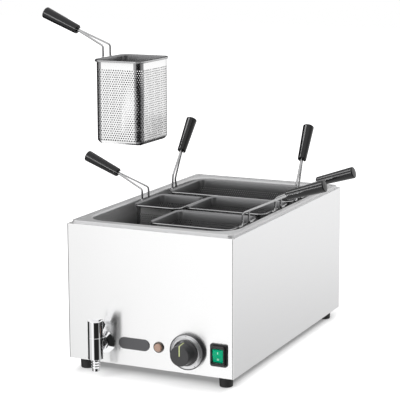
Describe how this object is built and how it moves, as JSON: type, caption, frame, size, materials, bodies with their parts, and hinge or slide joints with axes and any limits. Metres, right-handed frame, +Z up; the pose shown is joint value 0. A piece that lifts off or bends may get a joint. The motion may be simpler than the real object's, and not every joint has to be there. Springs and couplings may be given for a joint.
{
  "type": "pasta cooker",
  "caption": "Electric countertop pasta cooker: brushed steel casing on rubber feet, deep water well with lift-out perforated baskets, drain tap, thermostat knob and lit rocker switch.",
  "frame": {"origin": "on the table, midway between the four rubber feet, under the middle of the casing", "axes": "+Z up; -Y out of the control panel with the tap; +Y out of the back with the cable entry; +X to the right of a person facing the panel"},
  "size_m": [0.5748, 0.6292, 0.6746],
  "materials": {
    "brushed_casing": "vertical brushed stainless sheet",
    "brushed_panel": "vertical brushed stainless sheet, bright",
    "drawn_steel": "satin deep-drawn stainless steel",
    "basket_sheet": "perforated stainless sheet, polished",
    "basket_wire": "polished stainless wire",
    "tap_chrome": "mirror chrome plating",
    "brass_fitting": "turned brass",
    "copper_part": "drawn copper",
    "element_sheath": "matt stainless sheath, heat darkened",
    "zinc_steel": "zinc plated steel",
    "black_rubber": "matt moulded rubber",
    "grip_black": "glossy moulded phenolic",
    "badge_grey": "satin metallic grey",
    "lamp_bezel_grey": "dark metallised plastic",
    "amber_lens": "amber translucent lens",
    "dial_black": "moulded black plastic",
    "dial_silver": "brushed silver face",
    "knob_grey": "satin moulded plastic",
    "pointer_lime": "painted inlay",
    "switch_black": "moulded black plastic",
    "rocker_green": "translucent green rocker",
    "clear_cover": "clear flexible cap",
    "ceramic_white": "glazed ceramic"
  },
  "bodies": {
    "cabinet": {"casing_wrap": "brushed_casing", "front_panel": "brushed_panel", "base_plate": "brushed_casing", "rubber_feet": "black_rubber", "foot_screws": "zinc_steel", "foot_nuts": "zinc_steel", "base_plate_screws": "zinc_steel", "well_tank": "drawn_steel", "false_bottom": "drawn_steel", "heating_element": "element_sheath", "element_bushings": "brass_fitting", "element_nuts": "brass_fitting", "element_brackets": "drawn_steel", "drain_fitting": "brass_fitting", "drain_elbow": "drawn_steel", "tap_escutcheon": "tap_chrome", "tap_body": "tap_chrome", "tap_backnut": "brass_fitting", "tap_nozzle": "tap_chrome", "badge_plate": "badge_grey", "lamp_housing": "lamp_bezel_grey", "lamp_lens": "amber_lens", "dial_base": "dial_black", "dial_face": "dial_silver", "thermostat_body": "zinc_steel", "thermostat_screws": "zinc_steel", "thermostat_bulb": "copper_part", "capillary_tube": "copper_part", "switch_frame": "switch_black", "switch_body": "switch_black", "switch_cover": "clear_cover", "cable_gland": "switch_black", "gland_locknut": "switch_black", "terminal_block": "ceramic_white"},
    "front_left_basket": {"front_left_basket_shell": "basket_sheet", "front_left_basket_rim": "basket_wire", "front_left_handle_wire": "basket_wire", "front_left_handle_grip": "grip_black"},
    "front_right_basket": {"front_right_basket_shell": "basket_sheet", "front_right_basket_rim": "basket_wire", "front_right_handle_wire": "basket_wire", "front_right_handle_grip": "grip_black"},
    "middle_left_basket": {"middle_left_basket_shell": "basket_sheet", "middle_left_basket_rim": "basket_wire", "middle_left_handle_wire": "basket_wire", "middle_left_handle_grip": "grip_black"},
    "middle_right_basket": {"middle_right_basket_shell": "basket_sheet", "middle_right_basket_rim": "basket_wire", "middle_right_handle_wire": "basket_wire", "middle_right_handle_grip": "grip_black"},
    "rear_basket": {"rear_basket_shell": "basket_sheet", "rear_basket_rim": "basket_wire", "rear_handle_wires": "basket_wire", "rear_handle_grips": "grip_black"},
    "tap_valve": {"tap_plug": "brass_fitting", "tap_lever": "tap_chrome"},
    "thermostat_knob": {"thermostat_spindle": "zinc_steel", "control_knob": "knob_grey", "knob_pointer": "pointer_lime"},
    "power_rocker": {"switch_rocker": "rocker_green"}
  },
  "joints": [
    {"name": "front_left_basket_lift", "type": "slide", "parent": "cabinet", "child": "front_left_basket", "axis": [0, 0, 1], "range_m": [-0.3, 0]},
    {"name": "front_right_basket_lift", "type": "slide", "parent": "cabinet", "child": "front_right_basket", "axis": [0, 0, 1], "range_m": [0, 0.3]},
    {"name": "middle_left_basket_lift", "type": "slide", "parent": "cabinet", "child": "middle_left_basket", "axis": [0, 0, 1], "range_m": [0, 0.3]},
    {"name": "middle_right_basket_lift", "type": "slide", "parent": "cabinet", "child": "middle_right_basket", "axis": [0, 0, 1], "range_m": [0, 0.3]},
    {"name": "rear_basket_lift", "type": "slide", "parent": "cabinet", "child": "rear_basket", "axis": [0, 0, 1], "range_m": [0, 0.3]},
    {"name": "tap_turn", "type": "hinge", "parent": "cabinet", "child": "tap_valve", "pos_m": [-0.093, -0.316, 0.0804], "axis": [0, 0, 1], "range_deg": [0, 90]},
    {"name": "knob_turn", "type": "hinge", "parent": "cabinet", "child": "thermostat_knob", "pos_m": [0.08, -0.28, 0.065], "axis": [0, 1, 0], "range_deg": [0, 300]},
    {"name": "rocker_tilt", "type": "hinge", "parent": "cabinet", "child": "power_rocker", "pos_m": [0.142, -0.278, 0.065], "axis": [-1, 0, 0], "range_deg": [0, 14]}
  ]
}
